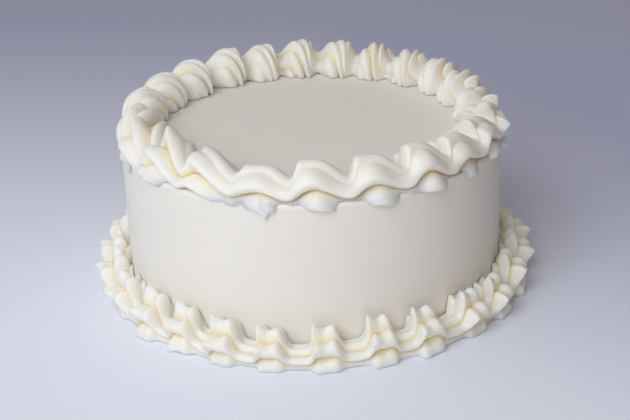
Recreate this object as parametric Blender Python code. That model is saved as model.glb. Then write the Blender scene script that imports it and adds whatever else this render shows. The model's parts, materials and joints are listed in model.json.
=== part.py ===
"""A round layer cake with a smooth coat of buttercream and two piped borders.

The uncut cake stands on z = 0 with its axis on Z, in metres, and the side at azimuth 270
degrees, towards -Y, faces the viewer. Each border is one piped ring: a strand with the
section of a star nozzle, laid round the cake anticlockwise, seen from above, and pushed up
into a fat head at every shell. Where a head starts, its points lean back over the tail of
the shell behind it. All of that is worked out from the sizes below.
"""
import math
import random
from types import SimpleNamespace

import bmesh
import bpy
import numpy as np

CAKE_RADIUS = 0.104
CAKE_HEIGHT = 0.0843
CAKE_EDGE_ROUND = 0.0025
CAKE_SIDES = 128
EDGE_STEPS = 3

SEAT_GAP = 0.0003
SEAT_DEPTH = 0.05
WELD = 0.00001
LOOSE_SCRAP = 0.05

# The nozzle has six teeth. A section has a point on each ridge and in each groove.
STAR_POINTS = 6
SECTION_POINTS = 2 * STAR_POINTS
STATIONS_PER_SHELL = 9
STATION_CROWDING = 0.07
CROWDED_AT = 0.1

# Sizes of the two piped rings. The strand's height is that of its centre over its floor, its
# rise and swell are how far each head lifts its top and fattens the strand, and the slant
# tips the strand outwards. The first shell and the drift place the shells by azimuth, and
# the grooves are the share of the full depth that each of the six grooves has.
TOP = SimpleNamespace(shells=23, ring_radius=0.0942, floor=CAKE_HEIGHT, strand_radius=0.0119,
                      strand_height=0.0026, rise=0.0023, swell=0.11, slant=0.0,
                      first_shell=267.6, drift=5.2, drift_shell=3.5, full_turns=5, seed=11,
                      grooves=(0.35, 1.25, 1.0, 0.75, 1.1, 0.6))
BASE = SimpleNamespace(shells=27, ring_radius=0.1093, floor=0.0, strand_radius=0.0105,
                       strand_height=0.0060, rise=0.0026, swell=0.20, slant=0.15,
                       first_shell=273.2, drift=0.0, drift_shell=0.0, full_turns=0, seed=12,
                       grooves=(1.0, 1.15, 1.0, 0.9, 1.0, 1.05))

# Shape of one shell along its length, in shells: where its head starts before the crest and
# over what length, how long the dent in a crest is, and how far after the crest its outer
# side and the lobe under it are at their fullest. The star rocks once with each shell.
HEAD_START = 0.12
HEAD_START_LENGTH = 0.15
CROWN_LENGTH = 0.09
ROLL_LAG = 0.06
LOBE_LAG = 0.12
ROCK = math.radians(16.0)

# Shape of the star: groove depths as shares of the strand's radius, more at a head, how round
# its ridges are and how much less so on a pointed head, the side that its squashed teeth
# crowd away from, and the share of the radius beyond which points are pushed back.
GROOVE = 0.30
HEAD_GROOVE = 0.14
HEAD_GROOVE_SPREAD = 0.4
RIDGE_ROUNDNESS = 1.9
POINT_SHARPENING = 0.7
SQUASH_FROM = math.radians(-60.0)
LIP_FROM = 0.6

# How uneven the hand was: one standard deviation of each.
UNEVEN_AZIMUTH = 0.7
UNEVEN_TWIST = 0.10
UNEVEN_SIZE = 0.05
UNEVEN_HEIGHT = 0.0005
UNEVEN_OUT = 0.0006

# Stretches of the top border with a stroke of their own. A stretch with two values has a
# centre and a width in degrees. One with three runs from one azimuth to another with soft
# ends.
LEFT_CRESCENTS = (212.0, 24.0)
RIGHT_POINTS = (-6.0, 26.0)
CALM_FRONT_LEFT = (249.0, 15.0)
FRONT = (240.0, 342.0, 6.0)
TALL_BACK = (20.0, 180.0, 12.0)
TURNING = (0.0, 240.0, 4.0)
TURNING_FASTER = (10.0, 178.0, 8.0)

ICING_COLOUR = (0.83, 0.80, 0.72)
PIPING_COLOUR = (0.86, 0.83, 0.74)
ICING_ROUGHNESS = 0.50
PIPING_ROUGHNESS = 0.45
SHARP_ANGLE = math.radians(50.0)


def near(azimuth, centre, width):
    """1 at the centre, falling to 0 about two widths away from it."""
    away = (azimuth - centre + 180.0) % 360.0 - 180.0
    return np.exp(-(away / width) ** 2)


def between(azimuth, start, end, softness):
    """1 from azimuth start round to end, 0 elsewhere, with soft ends."""
    away = np.abs((azimuth - (start + end) / 2 + 180.0) % 360.0 - 180.0)
    return 1 / (1 + np.exp((away - (end - start) / 2) / softness))


def top_stroke(azimuth):
    """How the top border was piped at each azimuth.

    The nozzle turns, and gathers that turn at the heads or not, and is tipped. Its teeth are
    skewed and squashed to one side, and the strand sways out in the dips. The lip and lean
    push a head back over the last shell. Then follow how pointed a head is, how far its
    points reach, how deep the grooves are, how much faster a head climbs than it falls, how
    full and how blocky its crest is and how deep the dent in it is, how smoothly the outer
    side rolls, how far lobes hang and how boldly the shells swell.
    """
    left = near(azimuth, *LEFT_CRESCENTS)
    right = near(azimuth, *RIGHT_POINTS)
    calm = near(azimuth, *CALM_FRONT_LEFT)
    front = between(azimuth, *FRONT)
    back = between(azimuth, *TALL_BACK)
    return SimpleNamespace(
        turn=((1.7 - 1.1 * left) * between(azimuth, *TURNING)
              + 0.8 * between(azimuth, *TURNING_FASTER)),
        gather=0.9 * np.maximum(back, left),
        tip=-0.17 * front,
        skew=0.20 * front + 0.16 * left,
        squash=0.15 + 0.10 * front,
        sway=0.0013 + 0.0008 * left + 0.0008 * back,
        lip=0.03 + 0.30 * left + 0.42 * right,
        lean=0.05 + 0.14 * left + 0.26 * right + 0.12 * front,
        point=np.minimum(0.80 * left + 0.95 * right, 1.0),
        reach=0.10 + 0.14 * left + 0.16 * right,
        groove=1.0 - 0.35 * back + 0.20 * right,
        climb=0.40,
        full=1.6 + 0.6 * back + 0.7 * front,
        block=1.0 + 0.2 * back,
        crown=0.22 * right,
        smooth=1.0 - 0.7 * right,
        lobe=0.30 * front,
        bold=1.1 + 0.35 * left + 0.15 * back - 0.55 * calm)


def base_stroke(azimuth):
    """How the border round the foot was piped: pointed heads all the way round."""
    even = np.zeros_like(azimuth)
    return SimpleNamespace(turn=even, gather=even, tip=even, skew=even + 0.05, squash=even,
                           sway=even + 0.0008, lip=even + 0.22, lean=even + 0.06,
                           point=even + 0.95, reach=0.18, groove=even + 1.0,
                           climb=even + 0.05, full=even + 0.95, block=even + 3.0,
                           crown=even + 0.22, smooth=even, lobe=even, bold=even + 1.2)


def stations(count):
    """Positions along the ring, counted in shells and crowded where the heads start."""
    step = np.arange(count * STATIONS_PER_SHELL) / STATIONS_PER_SHELL
    return step - STATION_CROWDING * np.sin(2 * np.pi * (step + CROWDED_AT))


def strand(ring, stroke_of):
    """Points of a piped ring: one closed star of points for each station."""
    step = stations(ring.shells)
    whole = np.floor(step)
    part = step - whole
    blend = part * part * (3 - 2 * part)
    this_shell = whole.astype(int) % ring.shells
    next_shell = (this_shell + 1) % ring.shells
    draws = random.Random(ring.seed)
    uneven = np.array([[draws.gauss(0.0, 1.0) for _ in range(5)] for _ in range(ring.shells)])

    def varied(column, amount):
        here = uneven[this_shell, column] * (1 - blend)
        return amount * (here + uneven[next_shell, column] * blend)

    drift = ring.drift * np.cos(2 * np.pi * (step - ring.drift_shell) / ring.shells)
    azimuth = ring.first_shell + 360.0 / ring.shells * step + drift
    azimuth = azimuth + varied(0, UNEVEN_AZIMUTH)
    stroke = stroke_of(azimuth)

    # The head is 1 over a shell's crest and 0 in the dip, and climbs faster than it falls.
    late = stroke.climb * (1 - np.cos(2 * np.pi * part))
    swing = 0.5 + 0.5 * np.cos(2 * np.pi * part - late)
    head = 1 - (1 - swing) ** stroke.full
    head = head ** stroke.block / (head ** stroke.block + (1 - head) ** stroke.block)
    roll = np.cos(2 * np.pi * (part - ROLL_LAG))
    from_crest = (part + 0.5) % 1.0 - 0.5
    head = head - stroke.crown * np.exp(-(from_crest / CROWN_LENGTH) ** 2) * head
    start = np.exp(-((from_crest + HEAD_START) / HEAD_START_LENGTH) ** 2)
    pointed = start * stroke.point

    turned = np.cumsum(stroke.turn * (1 + stroke.gather * np.cos(2 * np.pi * part)))
    if ring.full_turns:
        turned = turned * 2 * np.pi * ring.full_turns / turned[-1]
    twist = turned + stroke.tip - ROCK * roll / 2 + varied(1, UNEVEN_TWIST)

    wave = stroke.bold * (2 * head - 1)
    radius = ring.strand_radius * (1 + varied(2, UNEVEN_SIZE))
    centre_up = ring.strand_height + varied(3, UNEVEN_HEIGHT)
    centre_out = stroke.sway * (1 - 2 * head) + varied(4, UNEVEN_OUT)

    # Round the star, ridge goes from 1 on a tooth's ridge to 0 in a groove. A skewed tooth
    # drops into its groove on the outer side more steeply than it rises.
    tooth, place = np.divmod(np.arange(SECTION_POINTS), SECTION_POINTS // STAR_POINTS)
    place = place * STAR_POINTS / SECTION_POINTS
    from_ridge = 1 - np.abs(2 * place - 1)
    sharpness = RIDGE_ROUNDNESS - POINT_SHARPENING * pointed[:, None]
    ridge = 1 - from_ridge ** sharpness
    groove_at = (0.5 - stroke.skew)[:, None]
    turn_share = np.where(place < 0.5, 2 * place * groove_at,
                          1 - 2 * (1 - place) * (1 - groove_at))
    depth = GROOVE + HEAD_GROOVE * np.clip(start + HEAD_GROOVE_SPREAD * head, 0.0, 1.0)
    depth = (depth * stroke.groove)[:, None] * np.array(ring.grooves)[tooth]
    angle = 2 * np.pi * (tooth + turn_share) / STAR_POINTS + twist[:, None]
    angle = angle + stroke.squash[:, None] * np.sin(angle - SQUASH_FROM)

    # The outer side rolls more smoothly than the top, and lobes hang from under the heads.
    outer = np.clip(np.sin(angle), 0.0, 1.0) * stroke.smooth[:, None]
    wave = wave[:, None] * (1 - outer) + (stroke.bold * roll)[:, None] * outer
    under = (1 - np.cos(angle)) ** 2 / 4
    lobe = (stroke.lobe * np.cos(2 * np.pi * (part - LOBE_LAG)))[:, None] * under
    reach = radius[:, None] * (1 + ring.swell * wave + lobe) * (1 - depth * (1 - ridge))
    reach = reach * (1 + (stroke.reach * pointed)[:, None] * ridge)
    out = centre_out[:, None] + reach * np.sin(angle)
    up = centre_up[:, None] + reach * np.cos(angle)
    up = up + ring.rise * wave * (1 + np.cos(angle)) / 2
    out, up = (out * math.cos(ring.slant) + up * math.sin(ring.slant),
               up * math.cos(ring.slant) - out * math.sin(ring.slant))
    if ring.floor == 0.0:
        out = np.maximum(out, CAKE_RADIUS + SEAT_GAP - ring.ring_radius)
        up = np.maximum(up, 0.0)

    # The head leans back, and its points are pushed back over the tail behind it.
    back = (stroke.lean * head)[:, None] * reach * np.cos(angle)
    back = back + (stroke.lip * start)[:, None] * (reach - LIP_FROM * radius[:, None])
    bearing = np.radians(azimuth)[:, None] - back / ring.ring_radius
    distance = ring.ring_radius + out
    return np.stack([distance * np.cos(bearing), distance * np.sin(bearing),
                     ring.floor + up], axis=-1)


def link(name, bm):
    """A new object in the scene from the bmesh, which is freed."""
    mesh = bpy.data.meshes.new(name)
    bm.to_mesh(mesh)
    bm.free()
    thing = bpy.data.objects.new(name, mesh)
    bpy.context.scene.collection.objects.link(thing)
    return thing


def piped_ring(name, ring, stroke_of):
    """One closed ring skinned over the sections of its strand."""
    points = strand(ring, stroke_of)
    bm = bmesh.new()
    rows = [[bm.verts.new(point) for point in section] for section in points]
    for here, ahead in zip(rows, rows[1:] + rows[:1]):
        for corner in range(SECTION_POINTS):
            following = (corner + 1) % SECTION_POINTS
            bm.faces.new((here[corner], here[following], ahead[following], ahead[corner]))
    bmesh.ops.recalc_face_normals(bm, faces=bm.faces)
    bmesh.ops.triangulate(bm, faces=bm.faces)
    return link(name, bm)


def round_block(name, radius, bottom, top, edge):
    """A turned block with a rounded top edge, for the cake and for its seat in the piping."""
    bm = bmesh.new()
    bmesh.ops.create_cone(bm, cap_ends=True, segments=CAKE_SIDES, radius1=radius,
                          radius2=radius, depth=top - bottom)
    bmesh.ops.translate(bm, verts=bm.verts, vec=(0.0, 0.0, (top + bottom) / 2))
    rim = [e for e in bm.edges if all(v.co.z > top - edge for v in e.verts)]
    bmesh.ops.bevel(bm, geom=rim, offset=edge, segments=EDGE_STEPS, affect="EDGES",
                    profile=0.5)
    return link(name, bm)


def cut_away(thing, cutter):
    """Take the cutter out of thing for good."""
    modifier = thing.modifiers.new("seat", "BOOLEAN")
    modifier.operation = "DIFFERENCE"
    modifier.solver = "EXACT"
    modifier.object = cutter
    graph = bpy.context.evaluated_depsgraph_get()
    mesh = bpy.data.meshes.new_from_object(thing.evaluated_get(graph))
    thing.modifiers.remove(modifier)
    thing.data = mesh


def bodies_of(bm):
    """The separate bodies of a bmesh, each a set of vertices."""
    unseen = set(bm.verts)
    bodies = []
    while unseen:
        waiting = [unseen.pop()]
        body = set(waiting)
        while waiting:
            for edge in waiting.pop().link_edges:
                for vertex in edge.verts:
                    if vertex in unseen:
                        unseen.remove(vertex)
                        body.add(vertex)
                        waiting.append(vertex)
        bodies.append(body)
    return bodies


def clean_up(thing):
    """Weld what lies on itself and drop the scraps that a cut left loose."""
    bm = bmesh.new()
    bm.from_mesh(thing.data)
    bmesh.ops.remove_doubles(bm, verts=bm.verts, dist=WELD)
    bmesh.ops.triangulate(bm, faces=bm.faces)
    bodies = bodies_of(bm)
    largest = max(len(body) for body in bodies)
    scraps = [v for body in bodies if len(body) < LOOSE_SCRAP * largest for v in body]
    bmesh.ops.delete(bm, geom=scraps, context="VERTS")
    bm.to_mesh(thing.data)
    bm.free()


def finish(thing, colour, roughness):
    """Give thing its own icing material and smooth shading."""
    material = bpy.data.materials.new(thing.name)
    material.use_nodes = True
    shader = material.node_tree.nodes["Principled BSDF"]
    shader.inputs["Base Color"].default_value = (*colour, 1.0)
    shader.inputs["Roughness"].default_value = roughness
    shader.inputs["Metallic"].default_value = 0.0
    thing.data.materials.clear()
    thing.data.materials.append(material)
    thing.data.shade_smooth()
    thing.data.set_sharp_from_angle(angle=SHARP_ANGLE)
    print(thing.name, len(thing.data.polygons), "faces")


def build():
    for thing in list(bpy.data.objects):
        bpy.data.objects.remove(thing)

    cake = round_block("frosted_cake", CAKE_RADIUS, 0.0, CAKE_HEIGHT, CAKE_EDGE_ROUND)
    top_border = piped_ring("top_border", TOP, top_stroke)
    base_border = piped_ring("base_border", BASE, base_stroke)

    seat = round_block("seat", CAKE_RADIUS + SEAT_GAP, -SEAT_DEPTH, CAKE_HEIGHT + SEAT_GAP,
                       CAKE_EDGE_ROUND + SEAT_GAP)
    cut_away(top_border, seat)
    bpy.data.objects.remove(seat)

    for border in (top_border, base_border):
        clean_up(border)
        finish(border, PIPING_COLOUR, PIPING_ROUGHNESS)
    finish(cake, ICING_COLOUR, ICING_ROUGHNESS)


build()
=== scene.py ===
# %% [markdown]
# # A layer cake with piped buttercream borders
#
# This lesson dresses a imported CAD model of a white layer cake. The model gives three solid
# parts in metres: the frosted cake, a piped border on its top edge and a piped border round
# its foot. The cake stands on z = 0, its axis is Z, and the viewer looks along +Y.
#
# The model's facets are coarse. Each part gets a finer piece in its place here, with the
# same sizes, and then an icing that is worked out by nodes.

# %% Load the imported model
import json
import math
import random
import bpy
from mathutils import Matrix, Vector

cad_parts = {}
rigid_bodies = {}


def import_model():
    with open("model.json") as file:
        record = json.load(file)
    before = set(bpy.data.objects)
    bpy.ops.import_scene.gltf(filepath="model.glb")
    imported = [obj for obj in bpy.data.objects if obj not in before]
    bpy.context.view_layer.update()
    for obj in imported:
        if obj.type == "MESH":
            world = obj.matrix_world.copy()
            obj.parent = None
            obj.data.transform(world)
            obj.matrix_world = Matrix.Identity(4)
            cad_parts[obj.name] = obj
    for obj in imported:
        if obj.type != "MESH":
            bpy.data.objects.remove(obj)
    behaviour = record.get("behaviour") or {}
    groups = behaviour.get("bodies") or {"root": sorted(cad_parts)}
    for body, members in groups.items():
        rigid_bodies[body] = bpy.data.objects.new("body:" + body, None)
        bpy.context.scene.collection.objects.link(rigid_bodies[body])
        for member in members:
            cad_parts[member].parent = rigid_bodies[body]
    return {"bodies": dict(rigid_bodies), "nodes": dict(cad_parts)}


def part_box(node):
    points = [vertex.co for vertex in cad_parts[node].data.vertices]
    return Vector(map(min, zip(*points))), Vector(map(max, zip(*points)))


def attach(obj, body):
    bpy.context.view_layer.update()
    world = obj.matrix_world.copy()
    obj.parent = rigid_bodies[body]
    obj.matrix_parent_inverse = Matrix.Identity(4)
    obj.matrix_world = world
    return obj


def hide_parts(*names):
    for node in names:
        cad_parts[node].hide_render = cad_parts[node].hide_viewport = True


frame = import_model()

from types import SimpleNamespace

import bpy
import numpy as np
from mathutils import Matrix, Vector

for thing in list(bpy.data.objects):
    if thing not in [*frame["nodes"].values(), *frame["bodies"].values()]:
        bpy.data.objects.remove(thing)
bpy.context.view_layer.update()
print("parts in the model:", sorted(frame["nodes"]))

# %% [markdown]
# ## The view
#
# The picture was taken from in front and above with a long lens, so the cake's sides hardly
# lean together. The camera could be aimed with a constraint, but a photograph is rarely
# level. Building its three axes from a pitch, a turn and a roll keeps each of them as one
# number that can be corrected by itself.

# %% Camera
IMAGE_WIDTH = 630
SENSOR_WIDTH = 36.0
FOCAL_PIXELS = 1416.5
CAMERA_DISTANCE = 0.7968
CAMERA_PITCH = 0.42559
CAMERA_AIM = 0.00718
CAMERA_TURN = 0.00106
CAMERA_ROLL = -0.03076
AIM_HEIGHT = 0.040

pitch = CAMERA_PITCH + CAMERA_AIM
forward = Vector((math.sin(CAMERA_TURN) * math.cos(pitch),
                  math.cos(CAMERA_TURN) * math.cos(pitch), -math.sin(pitch)))
level_right = forward.cross(Vector((0.0, 0.0, 1.0))).normalized()
level_up = level_right.cross(forward)
camera_right = level_right * math.cos(CAMERA_ROLL) + level_up * math.sin(CAMERA_ROLL)
camera_up = level_up * math.cos(CAMERA_ROLL) - level_right * math.sin(CAMERA_ROLL)

bpy.ops.object.camera_add()
camera = bpy.context.object
camera.matrix_world = Matrix((camera_right, camera_up, -forward)).transposed().to_4x4()
camera.location = (0.0, -CAMERA_DISTANCE * math.cos(CAMERA_PITCH),
                   CAMERA_DISTANCE * math.sin(CAMERA_PITCH) + AIM_HEIGHT)
camera.data.sensor_width = SENSOR_WIDTH
camera.data.lens = SENSOR_WIDTH * FOCAL_PIXELS / IMAGE_WIDTH
bpy.context.scene.camera = camera
print("lens:", round(camera.data.lens, 1), "mm")

# %% [markdown]
# ## Writing materials as sums
#
# A material is a tree of nodes. Adding every Math node by hand hides what it works out. The
# small class below wraps one output socket, so that `0.4 + clouds * 0.1` adds the two Math
# nodes by itself, and one method adds any other kind of node.

# %% Shader helper
class Wire:
    """An output socket that Python's own signs can do sums with."""

    def __init__(self, socket):
        self.socket = socket
        self.tree = socket.id_data

    @classmethod
    def add(cls, tree, kind, settings=None, inputs=None, output=0):
        """Add one node: first its settings, then a value or a wire for each socket."""
        node = tree.nodes.new(kind)
        for name, value in (settings or {}).items():
            setattr(node, name, value)
        for name, value in (inputs or {}).items():
            if isinstance(value, Wire):
                tree.links.new(value.socket, node.inputs[name])
            else:
                node.inputs[name].default_value = value
        return cls(node.outputs[output])

    def sum_with(self, operation, first, second):
        return Wire.add(self.tree, "ShaderNodeMath", {"operation": operation},
                        {0: first, 1: second})

    def __add__(self, other):
        return self.sum_with("ADD", self, other)

    __radd__ = __add__

    def __mul__(self, other):
        return self.sum_with("MULTIPLY", self, other)

    __rmul__ = __mul__

    def __pow__(self, power):
        return self.sum_with("POWER", self, power)

    def mixed(self, first, second):
        """The first colour where this wire is 0, the second where it is 1."""
        return Wire.add(self.tree, "ShaderNodeMix", {"data_type": "RGBA"},
                        {0: self, 6: first, 7: second}, output=2)

    def stretched(self, factors):
        """This vector with each axis multiplied by a factor of its own."""
        return Wire.add(self.tree, "ShaderNodeVectorMath", {"operation": "MULTIPLY"},
                        {0: self, 1: factors})


def noise(vector, scale, detail=2.0, roughness=0.5):
    """Cloudy noise between 0 and 1, with its scale counted in blobs to the metre."""
    return Wire.add(vector.tree, "ShaderNodeTexNoise", {"noise_dimensions": "3D"},
                    {"Vector": vector, "Scale": scale, "Detail": detail,
                     "Roughness": roughness})


def new_material(name):
    """An empty material and its Principled shader."""
    material = bpy.data.materials.new(name)
    material.use_nodes = True
    return material, material.node_tree.nodes["Principled BSDF"]


def place_on(material):
    """The object's own coordinates, in metres."""
    return Wire.add(material.node_tree, "ShaderNodeTexCoord", output=3)


def connect(wire, shader, name):
    wire.tree.links.new(wire.socket, shader.inputs[name])


def bumped(height, depth):
    """A normal for a height between 0 and 1 that stands for a depth in metres."""
    return Wire.add(height.tree, "ShaderNodeBump",
                    inputs={"Height": height, "Distance": depth})


# %% [markdown]
# ## The table and the light
#
# The cake stands on a pale table that turns to a darker lavender behind. It turns sooner on
# the right, and there the darker colour is painted shadow of the cake. A wall could stand
# behind it, but a plain plane with a soft change of colour does for both, and nothing on it
# draws the eye. It lies a hair below z = 0, so the table and the cake's underside never share
# a height.

# %% Table
TABLE_SIZE = 8.0
TABLE_DROP = 0.0003
TABLE_NEAR = (0.86, 0.90, 1.0, 1.0)
# The far colour is the lavender behind and, on the right, painted shadow of the cake.
TABLE_WALL_AND_SHADOW = (0.46, 0.47, 0.64, 1.0)
TABLE_TURNS_AT = 0.22
TABLE_TURNS_OVER = 0.30
TABLE_SHADOW_TILT = 1.3
TABLE_ROUGHNESS = 0.7

bpy.ops.mesh.primitive_plane_add(size=TABLE_SIZE, location=(0.0, 0.0, -TABLE_DROP))
table = bpy.context.object
table.name = "table"
table_paint, shader = new_material("pale table")
place = place_on(table_paint)
to_right = Wire.add(table_paint.node_tree, "ShaderNodeSeparateXYZ", inputs={0: place})
# Painted shadow: the lavender comes nearer on the right, where the cake's shadow falls.
shadow_tilt = to_right.sum_with("MAXIMUM", to_right, 0.0) * TABLE_SHADOW_TILT
back_and_shadow = Wire(to_right.socket.node.outputs["Y"]) + shadow_tilt
wall_and_shadow_share = Wire.add(table_paint.node_tree, "ShaderNodeMapRange",
                     {"interpolation_type": "SMOOTHSTEP"},
                     {0: back_and_shadow, 1: TABLE_TURNS_AT - TABLE_TURNS_OVER,
                      2: TABLE_TURNS_AT + TABLE_TURNS_OVER})
connect(wall_and_shadow_share.mixed(TABLE_NEAR, TABLE_WALL_AND_SHADOW), shader, "Base Color")
shader.inputs["Roughness"].default_value = TABLE_ROUGHNESS
table.data.materials.append(table_paint)
print("table turns lavender", TABLE_TURNS_AT, "m behind the cake's axis")

# %% [markdown]
# The light is one large window at the left and in front, and it is a little cold. A weak warm
# light comes back from a white wall behind the viewer and evens out the front of the cake.
# One bare light would give hard dark folds in white icing, and an even sky would give none.
# Two soft squares and a sky that is weaker on the right keep the folds pale and still turn
# the form. The squares are hidden from the camera, so no other view shows them.

# %% Window and room
WINDOW = SimpleNamespace(azimuth=240.0, elevation=41.0, distance=1.5, size=1.0, power=12.9,
                         colour=(0.87, 0.91, 0.99))
WHITE_WALL = SimpleNamespace(azimuth=288.0, elevation=6.0, distance=1.5, size=1.2, power=2.4,
                             colour=(1.0, 0.78, 0.54))
ROOM_LEFT = (0.70, 0.68, 0.67, 1.0)
ROOM_RIGHT = (0.04, 0.02, 0.0, 1.0)
ROOM_STRENGTH = 0.72
LIT_POINT = Vector((0.0, 0.0, 0.05))


def area_light(name, spec):
    """A square soft light at an azimuth and elevation, turned towards the cake."""
    azimuth = math.radians(spec.azimuth)
    elevation = math.radians(spec.elevation)
    outwards = Vector((math.cos(azimuth) * math.cos(elevation),
                       math.sin(azimuth) * math.cos(elevation), math.sin(elevation)))
    bpy.ops.object.light_add(type="AREA", location=LIT_POINT + outwards * spec.distance)
    lamp = bpy.context.object
    lamp.name = name
    lamp.rotation_euler = (-outwards).to_track_quat("-Z", "Y").to_euler()
    lamp.data.size = spec.size
    lamp.data.energy = spec.power
    lamp.data.color = spec.colour
    lamp.visible_camera = False
    return lamp


for name, spec in (("window", WINDOW), ("white wall", WHITE_WALL)):
    lamp = area_light(name, spec)
    print(name, "stands at", [round(place, 2) for place in lamp.location])

world = bpy.data.worlds.new("quiet room")
world.use_nodes = True
sky = world.node_tree.nodes["Background"]
direction = Wire.add(world.node_tree, "ShaderNodeTexCoord", output=0)
to_right = Wire.add(world.node_tree, "ShaderNodeSeparateXYZ", inputs={0: direction})
room = ((to_right * 0.5 + 0.5) ** 2).mixed(ROOM_LEFT, ROOM_RIGHT)
connect(room, sky, "Color")
sky.inputs["Strength"].default_value = ROOM_STRENGTH
bpy.context.scene.world = world
bpy.context.scene.view_settings.view_transform = "Standard"

# %% [markdown]
# ## Working on one object at a time
#
# An operator acts on all that is selected. These helpers select one object, go into edit
# mode on it and pick faces or edges by a test on their place, as a maker would with a click.

# %% Edit-mode helpers
def only(thing):
    """Make thing the one selected and active object."""
    bpy.ops.object.select_all(action="DESELECT")
    thing.select_set(True)
    bpy.context.view_layer.objects.active = thing


def pick(thing, kind, test):
    """In edit mode, select the faces or edges whose corner heights pass the test."""
    bpy.ops.mesh.select_mode(type=kind)
    bpy.ops.mesh.select_all(action="DESELECT")
    bpy.ops.object.mode_set(mode="OBJECT")
    mesh = thing.data
    parts = mesh.polygons if kind == "FACE" else mesh.edges
    heights = [v.co.z for v in mesh.vertices]
    for part in parts:
        part.select = bool(test([heights[i] for i in part.vertices]))
    bpy.ops.object.mode_set(mode="EDIT")


def corners_of(thing):
    """All corner places of a mesh as one array."""
    flat = np.empty(len(thing.data.vertices) * 3)
    thing.data.vertices.foreach_get("co", flat)
    return flat.reshape(-1, 3)


def move_corners(thing, places):
    thing.data.vertices.foreach_set("co", np.ascontiguousarray(places).ravel())
    thing.data.update()


# %% [markdown]
# ## The smooth coat
#
# The cake is coated with buttercream and scraped smooth on a turntable, so it is a turned
# shape with a small round on its top edge. It could be spun from a profile. A cylinder is
# quicker, and its rim is bevelled, its wall cut into rows and its top set with rings, so
# that there are corners to move when the coat gets its unevenness.

# %% Cake body
ROUND_SIDES = 192
EDGE_ROUND = 0.0025
EDGE_SEGMENTS = 6
WALL_CUTS = 23
TOP_RINGS = 12
LEVEL = 0.0001

cake_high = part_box("frosted_cake")[1]
CAKE_RADIUS = cake_high.x
CAKE_HEIGHT = cake_high.z

bpy.ops.object.select_all(action="DESELECT")
bpy.ops.mesh.primitive_cylinder_add(vertices=ROUND_SIDES, radius=CAKE_RADIUS,
                                    depth=CAKE_HEIGHT,
                                    location=(0.0, 0.0, CAKE_HEIGHT / 2))
coat = bpy.context.object
coat.name = "smooth_coat"
bpy.ops.object.transform_apply(location=True)
bpy.ops.object.mode_set(mode="EDIT")

pick(coat, "EDGE", lambda heights: max(heights) - min(heights) > CAKE_HEIGHT / 2)
bpy.ops.mesh.subdivide(number_cuts=WALL_CUTS)

pick(coat, "EDGE", lambda heights: min(heights) > CAKE_HEIGHT - LEVEL)
bpy.ops.mesh.bevel(offset=EDGE_ROUND, segments=EDGE_SEGMENTS, affect="EDGES")

step = (CAKE_RADIUS - EDGE_ROUND) / (TOP_RINGS + 1)
for is_cap in (lambda heights: min(heights) > CAKE_HEIGHT - LEVEL,
               lambda heights: max(heights) < LEVEL):
    pick(coat, "FACE", is_cap)
    for ring in range(TOP_RINGS):
        bpy.ops.mesh.inset(thickness=step)
    bpy.ops.mesh.poke()
bpy.ops.object.mode_set(mode="OBJECT")
print("smooth coat:", len(coat.data.polygons), "faces")

# %% [markdown]
# A hand-held scraper leaves the wall a few tenths of a millimetre out of round, with faint
# level bands, and the top keeps the shallow arcs of a palette knife. The coat could be
# sculpted, but sums of slow waves do it in a few lines. Their counts round the wall are whole
# numbers, so they join up, and they are far too low to change the cake's size.

# %% Unevenness of the coat
WALL_WOBBLE = 0.00016
WALL_BAND = 0.00005
BAND_HEIGHT = 0.011
TOP_WOBBLE = 0.00018
TOP_SKIRT = 0.010
COAT_SMOOTH_ANGLE = math.radians(40.0)

places = corners_of(coat)
turned_places = places.copy()
azimuth = np.arctan2(places[:, 1], places[:, 0])
from_axis = np.hypot(places[:, 0], places[:, 1])
height = places[:, 2]

wobble = (np.sin(2 * azimuth + 0.6) + 0.6 * np.sin(5 * azimuth + 30 * height + 1.9)
          + 0.4 * np.sin(9 * azimuth - 55 * height + 4.0)) * WALL_WOBBLE
bands = np.sin(2 * np.pi * height / BAND_HEIGHT + 1.3 * np.sin(azimuth)) * WALL_BAND
on_wall = np.clip(from_axis / CAKE_RADIUS, 0.0, 1.0) ** 6
shrink = 1 - (WALL_WOBBLE * 2 - wobble - bands) * on_wall / CAKE_RADIUS
places[:, 0] *= shrink
places[:, 1] *= shrink

inner = np.clip((CAKE_RADIUS - from_axis) / TOP_SKIRT, 0.0, 1.0)
arcs = (np.sin(70 * from_axis + 2 * azimuth) + 0.5 * np.sin(40 * places[:, 0] + 2.0)
        + 0.5 * np.sin(33 * places[:, 1] + 0.5))
top_only = (height > CAKE_HEIGHT - LEVEL) * inner
places[:, 2] += (arcs - 2) * top_only * TOP_WOBBLE
move_corners(coat, places)
most = np.abs(places - turned_places).max()
print("the coat's corners moved by at most", round(1000 * most, 2), "mm")

only(coat)
bpy.ops.object.shade_smooth_by_angle(angle=COAT_SMOOTH_ANGLE)
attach(coat, "root")
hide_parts("frosted_cake")

# %% [markdown]
# ## How a shell border is piped
#
# A shell border comes out of a bag with a star nozzle in one go. The hand squeezes, lets a
# fat head build up, then pulls away and eases off to a tail, and the next head starts on
# top of that tail. The border could be made from one shell, copied round, but then every
# shell has two closed ends that cut through its neighbours. What leaves the nozzle is one
# strand, so here it is one strand too: a ring with the nozzle's star as its section, that
# rises and swells at each head and leans back over the shell behind.
#
# The sizes are those of the CAD solids, so both keep the same shape. The first block holds
# one border each: how many shells, where the strand lies, how far it rises and swells, and
# how deep each of the six grooves is. A real nozzle never cuts all of them alike.

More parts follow.
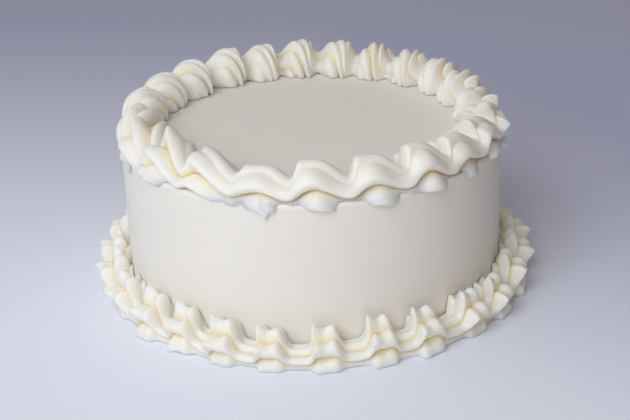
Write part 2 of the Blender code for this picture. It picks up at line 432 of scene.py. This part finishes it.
# %% Sizes of the two borders
TOP = SimpleNamespace(shells=23, ring_radius=0.0942, floor=CAKE_HEIGHT, strand_radius=0.0119,
                      strand_height=0.0026, rise=0.0023, swell=0.11, slant=0.0,
                      first_shell=267.6, drift=5.2, drift_shell=3.5, full_turns=5, seed=11,
                      grooves=(0.35, 1.25, 1.0, 0.75, 1.1, 0.6))
BASE = SimpleNamespace(shells=27, ring_radius=0.1093, floor=0.0, strand_radius=0.0105,
                       strand_height=0.0060, rise=0.0026, swell=0.20, slant=0.15,
                       first_shell=273.2, drift=0.0, drift_shell=0.0, full_turns=0, seed=12,
                       grooves=(1.0, 1.15, 1.0, 0.9, 1.0, 1.05))
SEAT_GAP = 0.0003

# Along one shell, in shells: where its head starts before the crest and over what length,
# how long the dent in a crest is, and how far after the crest its outer side and the lobe
# under it are fullest. The star rocks once with each shell.
HEAD_START = 0.12
HEAD_START_LENGTH = 0.15
CROWN_LENGTH = 0.09
ROLL_LAG = 0.06
LOBE_LAG = 0.12
ROCK = math.radians(16.0)

# Round the star: groove depths as shares of the radius, how round the ridges are, the side
# its squashed teeth crowd away from, and where on the radius a point starts to lean back.
STAR_POINTS = 6
GROOVE = 0.30
HEAD_GROOVE = 0.14
HEAD_GROOVE_SPREAD = 0.4
RIDGE_ROUNDNESS = 1.9
POINT_SHARPENING = 0.7
SQUASH_FROM = math.radians(-60.0)
LIP_FROM = 0.6

# How uneven the hand was: one standard deviation of each.
UNEVEN_AZIMUTH = 0.7
UNEVEN_TWIST = 0.10
UNEVEN_SIZE = 0.05
UNEVEN_HEIGHT = 0.0005
UNEVEN_OUT = 0.0006
print("shells:", TOP.shells, "round the top and", BASE.shells, "round the foot")

# %% [markdown]
# The top border wasn't piped the same all the way round. On the left its shells are long
# crescents, in front they are a broad wave with a lobe under each crest, on the right they
# end in sharp points, and at the back they stand tall and round. Four borders could be
# modelled and joined, but the joints would show. Each stretch is given by its azimuth
# instead, and soft masks blend one into the next.

# %% Stretches of the top border
LEFT_CRESCENTS = (212.0, 24.0)
RIGHT_POINTS = (-6.0, 26.0)
CALM_FRONT_LEFT = (249.0, 15.0)
FRONT = (240.0, 342.0, 6.0)
TALL_BACK = (20.0, 180.0, 12.0)
TURNING = (0.0, 240.0, 4.0)
TURNING_FASTER = (10.0, 178.0, 8.0)


def near(azimuth, centre, width):
    """1 at the centre, falling to 0 about two widths away from it."""
    away = (azimuth - centre + 180.0) % 360.0 - 180.0
    return np.exp(-(away / width) ** 2)


def between(azimuth, start, end, softness):
    """1 from azimuth start round to end, 0 elsewhere, with soft ends."""
    away = np.abs((azimuth - (start + end) / 2 + 180.0) % 360.0 - 180.0)
    return 1 / (1 + np.exp((away - (end - start) / 2) / softness))


def top_stroke(azimuth):
    """How the top border was piped at each azimuth.

    The nozzle turns, and gathers that turn at the heads or not, and is tipped. Its teeth are
    skewed and squashed to one side, and the strand sways out in the dips. The lip and lean
    push a head back over the last shell. Then follow how pointed a head is, how far its
    points reach, how deep the grooves are, how much faster a head climbs than it falls, how
    full and how blocky its crest is and how deep the dent in it is, how smoothly the outer
    side rolls, how far lobes hang and how boldly the shells swell.
    """
    left = near(azimuth, *LEFT_CRESCENTS)
    right = near(azimuth, *RIGHT_POINTS)
    calm = near(azimuth, *CALM_FRONT_LEFT)
    front = between(azimuth, *FRONT)
    back = between(azimuth, *TALL_BACK)
    return SimpleNamespace(
        turn=((1.7 - 1.1 * left) * between(azimuth, *TURNING)
              + 0.8 * between(azimuth, *TURNING_FASTER)),
        gather=0.9 * np.maximum(back, left),
        tip=-0.17 * front,
        skew=0.20 * front + 0.16 * left,
        squash=0.15 + 0.10 * front,
        sway=0.0013 + 0.0008 * left + 0.0008 * back,
        lip=0.03 + 0.30 * left + 0.42 * right,
        lean=0.05 + 0.14 * left + 0.26 * right + 0.12 * front,
        point=np.minimum(0.80 * left + 0.95 * right, 1.0),
        reach=0.10 + 0.14 * left + 0.16 * right,
        groove=1.0 - 0.35 * back + 0.20 * right,
        climb=0.40,
        full=1.6 + 0.6 * back + 0.7 * front,
        block=1.0 + 0.2 * back,
        crown=0.22 * right,
        smooth=1.0 - 0.7 * right,
        lobe=0.30 * front,
        bold=1.1 + 0.35 * left + 0.15 * back - 0.55 * calm)


def base_stroke(azimuth):
    """How the border round the foot was piped: pointed heads all the way round."""
    even = np.zeros_like(azimuth)
    return SimpleNamespace(turn=even, gather=even, tip=even, skew=even + 0.05, squash=even,
                           sway=even + 0.0008, lip=even + 0.22, lean=even + 0.06,
                           point=even + 0.95, reach=0.18, groove=even + 1.0,
                           climb=even + 0.05, full=even + 0.95, block=even + 3.0,
                           crown=even + 0.22, smooth=even, lobe=even, bold=even + 1.2)


# %% [markdown]
# The next cells give the strand's surface step by step. First the rule walks round the ring
# in small stations, which crowd a little where a head starts, because the form changes
# fastest there. It says how far along its shell each station is, at what azimuth it lies and
# how much the hand was off there. Equal steps would do too, but they waste corners in the
# calm tails.

# %% Walking round the ring
STATION_CROWDING = 0.07
CROWDED_AT = 0.1


def walk_round(ring, stations_per_shell):
    """Each station's part of its shell, its azimuth, and a function for its unevenness."""
    step = np.arange(ring.shells * stations_per_shell) / stations_per_shell
    step = step - STATION_CROWDING * np.sin(2 * np.pi * (step + CROWDED_AT))
    whole = np.floor(step)
    part = step - whole
    blend = part * part * (3 - 2 * part)
    this_shell = whole.astype(int) % ring.shells
    next_shell = (this_shell + 1) % ring.shells
    draws = random.Random(ring.seed)
    uneven = np.array([[draws.gauss(0.0, 1.0) for _ in range(5)] for _ in range(ring.shells)])

    def varied(column, amount):
        here = uneven[this_shell, column] * (1 - blend)
        return amount * (here + uneven[next_shell, column] * blend)

    drift = ring.drift * np.cos(2 * np.pi * (step - ring.drift_shell) / ring.shells)
    azimuth = ring.first_shell + 360.0 / ring.shells * step + drift
    return part, azimuth + varied(0, UNEVEN_AZIMUTH), varied


# %% [markdown]
# Then comes the swing of one shell, from a squeeze of the bag to its easing off. One cosine
# would pipe a row of even waves. The head of a real shell climbs fast, is full over its
# crest and falls off slowly, so the cosine is bent in time and in height.

# %% The swing of one shell
def shell_swing(stroke, part):
    """The head, its start and the roll of the outer side, along every shell.

    The head is 1 over a shell's crest and 0 in the dip, and climbs faster than it falls.
    """
    late = stroke.climb * (1 - np.cos(2 * np.pi * part))
    swing = 0.5 + 0.5 * np.cos(2 * np.pi * part - late)
    head = 1 - (1 - swing) ** stroke.full
    head = head ** stroke.block / (head ** stroke.block + (1 - head) ** stroke.block)
    from_crest = (part + 0.5) % 1.0 - 0.5
    head = head - stroke.crown * np.exp(-(from_crest / CROWN_LENGTH) ** 2) * head
    start = np.exp(-((from_crest + HEAD_START) / HEAD_START_LENGTH) ** 2)
    roll = np.cos(2 * np.pi * (part - ROLL_LAG))
    return head, start, roll


# %% [markdown]
# The section is the nozzle's star with six teeth. A tooth's ridge could be a plain cosine,
# but pressed icing has round ridges and narrow grooves, so a power sharpens the groove. The
# teeth are skewed and crowded to one side where the nozzle was held at a slant.

# %% The nozzle's star
def star_section(ring, stroke, head, start, twist, section_points):
    """Each point's angle, its ridge from 1 to 0, its groove's depth and that groove's share.

    A skewed tooth drops into its groove on the outer side more steeply than it rises. The
    torus primitive counts its section from the outside upwards, and the star is counted from
    the top outwards.
    """
    order = (section_points // 4 - np.arange(section_points)) % section_points
    tooth, place = np.divmod(order, section_points // STAR_POINTS)
    place = place * STAR_POINTS / section_points
    from_ridge = 1 - np.abs(2 * place - 1)
    sharpness = RIDGE_ROUNDNESS - POINT_SHARPENING * (start * stroke.point)[:, None]
    ridge = 1 - from_ridge ** sharpness
    share = np.array(ring.grooves)[tooth]
    depth = GROOVE + HEAD_GROOVE * np.clip(start + HEAD_GROOVE_SPREAD * head, 0.0, 1.0)
    depth = (depth * stroke.groove)[:, None] * share

    groove_at = (0.5 - stroke.skew)[:, None]
    turn_share = np.where(place < 0.5, 2 * place * groove_at,
                          1 - 2 * (1 - place) * (1 - groove_at))
    angle = 2 * np.pi * (tooth + turn_share) / STAR_POINTS + twist[:, None]
    angle = angle + stroke.squash[:, None] * np.sin(angle - SQUASH_FROM)
    return angle, ridge, depth, share


# %% [markdown]
# The last step puts the star at its place on the ring and leans it back. At one place in
# front a short tail of icing hangs from the top border's lower edge, where the bag was
# lifted. It could be a cone of its own. The rule pulls a narrow strip of the edge down
# instead, so the tail grows out of the border with no seam. A second grid says how deep in
# a groove each point lies, and the icing paints shade and drag lines from that later.

# %% The strand's rule
HANGING_TAIL = SimpleNamespace(azimuth=256.3, width=0.75, angle=math.radians(125.0),
                               spread=0.45, length=0.0045)


def piped_strand(ring, stroke_of, stations_per_shell, section_points):
    """Points of a piped ring, one row to a station, and how deep in a groove each lies."""
    part, azimuth, varied = walk_round(ring, stations_per_shell)
    stroke = stroke_of(azimuth)
    head, start, roll = shell_swing(stroke, part)
    turned = np.cumsum(stroke.turn * (1 + stroke.gather * np.cos(2 * np.pi * part)))
    if ring.full_turns:
        turned = turned * 2 * np.pi * ring.full_turns / turned[-1]
    twist = turned + stroke.tip - ROCK * roll / 2 + varied(1, UNEVEN_TWIST)
    angle, ridge, depth, share = star_section(ring, stroke, head, start, twist,
                                              section_points)
    radius = ring.strand_radius * (1 + varied(2, UNEVEN_SIZE))
    centre_up = ring.strand_height + varied(3, UNEVEN_HEIGHT)
    centre_out = stroke.sway * (1 - 2 * head) + varied(4, UNEVEN_OUT)

    # The outer side rolls more smoothly than the top, and lobes hang from under the heads.
    outer = np.clip(np.sin(angle), 0.0, 1.0) * stroke.smooth[:, None]
    wave = (stroke.bold * (2 * head - 1))[:, None] * (1 - outer)
    wave = wave + (stroke.bold * roll)[:, None] * outer
    under = (1 - np.cos(angle)) ** 2 / 4
    lobe = (stroke.lobe * np.cos(2 * np.pi * (part - LOBE_LAG)))[:, None] * under
    reach = radius[:, None] * (1 + ring.swell * wave + lobe) * (1 - depth * (1 - ridge))
    reach = reach * (1 + (stroke.reach * (start * stroke.point))[:, None] * ridge)
    out = centre_out[:, None] + reach * np.sin(angle)
    up = centre_up[:, None] + reach * np.cos(angle)
    up = up + ring.rise * wave * (1 + np.cos(angle)) / 2
    if ring is TOP:
        along = near(azimuth, HANGING_TAIL.azimuth, HANGING_TAIL.width)[:, None]
        off = (angle - HANGING_TAIL.angle + np.pi) % (2 * np.pi) - np.pi
        up = up - HANGING_TAIL.length * along * np.exp(-(off / HANGING_TAIL.spread) ** 2)
    out, up = (out * math.cos(ring.slant) + up * math.sin(ring.slant),
               up * math.cos(ring.slant) - out * math.sin(ring.slant))

    # The head leans back, and its points are pushed back over the tail behind it.
    back = (stroke.lean * head)[:, None] * reach * np.cos(angle)
    back = back + (stroke.lip * start)[:, None] * (reach - LIP_FROM * radius[:, None])
    bearing = np.radians(azimuth)[:, None] - back / ring.ring_radius
    distance = ring.ring_radius + out
    points = np.stack([distance * np.cos(bearing), distance * np.sin(bearing),
                       ring.floor + up], axis=-1)
    return points, np.clip((1 - ridge) * share, 0.0, 1.0)


# %% [markdown]
# Each border starts from a torus with as many segments as the rule has stations and points,
# and its corners are moved to where the rule puts them. The rings could be bridged one by one,
# but the torus is closed already, and a subdivision brings it to full fineness quickly.

# %% Making a border
GROOVE_DEPTH = "groove_depth"
TORUS_SPLIT = 4


def piped_border(name, ring, stroke_of, stations_per_shell, section_points):
    """A torus whose corners are moved on to the piped strand."""
    bpy.ops.object.select_all(action="DESELECT")
    bpy.ops.mesh.primitive_torus_add(
        major_segments=ring.shells * stations_per_shell // TORUS_SPLIT,
        minor_segments=section_points // TORUS_SPLIT,
        major_radius=ring.ring_radius, minor_radius=ring.strand_radius)
    border = bpy.context.object
    border.name = name
    bpy.ops.object.mode_set(mode="EDIT")
    bpy.ops.mesh.subdivide(number_cuts=TORUS_SPLIT - 1)
    bpy.ops.object.mode_set(mode="OBJECT")

    # A corner's two angles on the torus say which station and which point it is.
    x, y, z = corners_of(border).T
    round_ring = np.arctan2(y, x) / (2 * np.pi)
    round_section = np.arctan2(z, np.hypot(x, y) - ring.ring_radius) / (2 * np.pi)
    points, depth = piped_strand(ring, stroke_of, stations_per_shell, section_points)
    station = np.rint(round_ring * len(points)).astype(int) % len(points)
    point = np.rint(round_section * section_points).astype(int) % section_points
    move_corners(border, points[station, point])
    attribute = border.data.attributes.new(GROOVE_DEPTH, "FLOAT", "POINT")
    attribute.data.foreach_set("value", depth[station, point].astype(np.float32))
    return border


# %% Pipe both borders
TOP_STATIONS = 44
BASE_STATIONS = 36
SECTION_POINTS = 72

top_piping = piped_border("top_piping", TOP, top_stroke, TOP_STATIONS, SECTION_POINTS)
base_piping = piped_border("base_piping", BASE, base_stroke, BASE_STATIONS, SECTION_POINTS)
print("top piping:", len(top_piping.data.polygons), "faces before its seat is cut")
print("base piping:", len(base_piping.data.polygons), "faces before its seat is cut")

# %% [markdown]
# The strands still pass into the cake and the table. Nobody would see that, but each piece
# should be a body of its own, with a real face where it rests. Deleting the hidden faces
# would leave it open. So the top border is cut with a turned block like the cake, a hair
# larger, and the foot border with one like the table and the cake's wall.

# %% Cutting helpers
def turned_block(name, profile):
    """A cutter turned round Z from (radius, height) corners, bottom to top."""
    bpy.ops.object.select_all(action="DESELECT")
    (first_radius, first_height) = profile[0]
    bpy.ops.mesh.primitive_circle_add(vertices=ROUND_SIDES, radius=first_radius,
                                      fill_type="NGON", location=(0.0, 0.0, first_height))
    block = bpy.context.object
    block.name = name
    bpy.ops.object.transform_apply(location=True)
    bpy.ops.object.mode_set(mode="EDIT")
    bpy.ops.mesh.select_all(action="SELECT")
    for (radius, height), (new_radius, new_height) in zip(profile, profile[1:]):
        bpy.ops.mesh.extrude_region_move(
            TRANSFORM_OT_translate={"value": (0.0, 0.0, new_height - height)})
        if new_radius != radius:
            share = new_radius / radius
            bpy.ops.transform.resize(value=(share, share, 1.0),
                                     center_override=(0.0, 0.0, new_height))
    bpy.ops.mesh.select_all(action="SELECT")
    bpy.ops.mesh.normals_make_consistent(inside=False)
    bpy.ops.object.mode_set(mode="OBJECT")
    return block


def cut_off(thing, cutter):
    """Cut the cutter's volume out of thing and remove the cutter."""
    only(thing)
    modifier = thing.modifiers.new("seat", "BOOLEAN")
    modifier.operation = "DIFFERENCE"
    modifier.solver = "MANIFOLD"
    modifier.object = cutter
    bpy.ops.object.modifier_apply(modifier=modifier.name)
    bpy.data.objects.remove(cutter)
    print(thing.name, "has", len(thing.data.polygons), "faces after the cut")


# %% Cut the seats
SEAT_BOTTOM = 0.04
CORNER_STEPS = 6
TABLE_REACH = 0.2
TABLE_DEPTH = 0.03
FOOT_SEAT_TOP = 0.05

seat_radius = CAKE_RADIUS + SEAT_GAP
seat_top = CAKE_HEIGHT + SEAT_GAP
corner_radius = EDGE_ROUND + SEAT_GAP
corner_turns = [math.radians(90.0 / CORNER_STEPS * k) for k in range(1, CORNER_STEPS + 1)]
seat_profile = [(seat_radius, SEAT_BOTTOM), (seat_radius, seat_top - corner_radius)]
seat_profile += [(seat_radius - corner_radius * (1 - math.cos(turn)),
                  seat_top - corner_radius * (1 - math.sin(turn))) for turn in corner_turns]
cut_off(top_piping, turned_block("top_seat", seat_profile))

foot_profile = [(TABLE_REACH, -TABLE_DEPTH), (TABLE_REACH, 0.0), (seat_radius, 0.0),
                (seat_radius, FOOT_SEAT_TOP)]
cut_off(base_piping, turned_block("foot_seat", foot_profile))

# %% [markdown]
# Where the strand only grazes the cake the cut can leave a loose flake behind. A maker
# would select the border by one of its corners, grow that to all that is joined to it, and
# delete the rest.

# %% Clean both borders
PIPING_SMOOTH_ANGLE = math.radians(60.0)


def drop_flakes(thing):
    """Delete all that isn't joined to the border's highest corner."""
    only(thing)
    bpy.ops.object.mode_set(mode="EDIT")
    highest = corners_of(thing)[:, 2].max()
    pick(thing, "EDGE", lambda heights: max(heights) == highest)
    bpy.ops.mesh.select_linked()
    bpy.ops.mesh.select_all(action="INVERT")
    bpy.ops.mesh.delete(type="EDGE")
    bpy.ops.object.mode_set(mode="OBJECT")


for border in (top_piping, base_piping):
    faces_before = len(border.data.polygons)
    drop_flakes(border)
    print(border.name, "lost", faces_before - len(border.data.polygons), "loose faces")
    bpy.ops.object.shade_smooth_by_angle(angle=PIPING_SMOOTH_ANGLE)

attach(top_piping, "root")
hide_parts("top_border")
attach(base_piping, "root")
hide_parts("base_border")

# %% [markdown]
# ## The smooth icing
#
# Buttercream is a warm white that lets a little light in, so its shading is soft. Plain paint
# would look like plaster. Close up the coat has faint level streaks from the scraper and a
# fine grain of tiny air holes. The streaks come from noise that is stretched along the wall,
# and the grain from small noise.

# %% Smooth icing
ICING_LIGHT = (0.86, 0.835, 0.775, 1.0)
ICING_WARM = (0.83, 0.79, 0.71, 1.0)
COAT_CLOUDS = 22.0
COAT_GRAIN = 1400.0
SCRAPER_STRETCH = (6.0, 6.0, 260.0)
COAT_RELIEF = 0.00012
COAT_LIGHT_SHARE = 0.12
COAT_LIGHT_REACH = (1.0, 0.75, 0.45)
COAT_LIGHT_DEPTH = 0.004

smooth_icing, shader = new_material("smooth icing")
place = place_on(smooth_icing)
clouds = noise(place, COAT_CLOUDS, detail=3.0)
streaks = noise(place.stretched(SCRAPER_STRETCH), 1.0, detail=3.0)
grain = noise(place, COAT_GRAIN)
warmth = clouds * 0.6 + streaks * 0.4
relief = streaks * 0.6 + grain * 0.25 + clouds * 0.5
connect(warmth.mixed(ICING_LIGHT, ICING_WARM), shader, "Base Color")
connect(0.46 + streaks * 0.10 + clouds * 0.06, shader, "Roughness")
connect(bumped(relief, COAT_RELIEF), shader, "Normal")
shader.inputs["Subsurface Weight"].default_value = COAT_LIGHT_SHARE
shader.inputs["Subsurface Radius"].default_value = COAT_LIGHT_REACH
shader.inputs["Subsurface Scale"].default_value = COAT_LIGHT_DEPTH
coat.data.materials.append(smooth_icing)
print(smooth_icing.name, "has", len(smooth_icing.node_tree.nodes), "nodes")

# %% [markdown]
# ## The piped icing
#
# The buttercream keeps its own colour on the ridges. In the grooves it is painted creamier, as
# painted shade for light that bounces from wall to wall there, and in the creases a darker
# yellow, as painted shade. The colours could be painted by hand. The groove depth that the
# strand's rule wrote on every corner mixes them instead, so the painted shade follows each
# fold. The nozzle's teeth also leave fine drag lines along the strand.
# They come from noise that changes fast with the groove depth and slowly along the ring.
# Air holes are small noise.

# %% Piped icing
PIPED_RIDGE = (0.88, 0.86, 0.795, 1.0)
# Painted shade: the colours that the grooves and the creases are mixed to.
PIPED_GROOVE_SHADE = (0.94, 0.87, 0.68, 1.0)
PIPED_CREASE_SHADE = (0.90, 0.77, 0.49, 1.0)
GROOVE_FALLOFF = 1.6
CREASE_FALLOFF = 9.0
CREASE_SHADE_SHARE = 0.6
PIPED_CLOUDS = 60.0
AIR_HOLES = 900.0
LINES_SCALE = 30.0
LINES_PER_GROOVE = 9.0
PIPED_RELIEF = 0.0003
PIPED_LIGHT_SHARE = 0.6
PIPED_LIGHT_REACH = (1.0, 0.8, 0.5)
PIPED_LIGHT_DEPTH = 0.008

piped_icing, shader = new_material("piped icing")
place = place_on(piped_icing)
depth = Wire.add(piped_icing.node_tree, "ShaderNodeAttribute",
                 {"attribute_name": GROOVE_DEPTH}, output=2)
clouds = noise(place, PIPED_CLOUDS, detail=3.0)
pores = noise(place, AIR_HOLES, detail=3.0, roughness=0.6)
lines = Wire.add(piped_icing.node_tree, "ShaderNodeTexNoise", {"noise_dimensions": "4D"},
                 {"Vector": place, "W": depth * (LINES_PER_GROOVE / LINES_SCALE),
                  "Scale": LINES_SCALE, "Detail": 2.0})
# Painted shade: the deeper a corner lies in a groove, the creamier it is, and in the creases a
# darker yellow.
groove_shade = (depth ** GROOVE_FALLOFF) * (0.75 + clouds * 0.5)
crease_shade = (depth ** CREASE_FALLOFF) * CREASE_SHADE_SHARE
groove_shaded = groove_shade.mixed(PIPED_RIDGE, PIPED_GROOVE_SHADE)
relief = pores * 0.25 + clouds * 0.6 + lines * 1.2
connect(crease_shade.mixed(groove_shaded, PIPED_CREASE_SHADE), shader, "Base Color")
connect(0.42 + clouds * 0.10 + pores * 0.06, shader, "Roughness")
connect(bumped(relief, PIPED_RELIEF), shader, "Normal")
shader.inputs["Subsurface Weight"].default_value = PIPED_LIGHT_SHARE
shader.inputs["Subsurface Radius"].default_value = PIPED_LIGHT_REACH
shader.inputs["Subsurface Scale"].default_value = PIPED_LIGHT_DEPTH
for border in (top_piping, base_piping):
    border.data.materials.clear()
    border.data.materials.append(piped_icing)
print(piped_icing.name, "has", len(piped_icing.node_tree.nodes), "nodes")
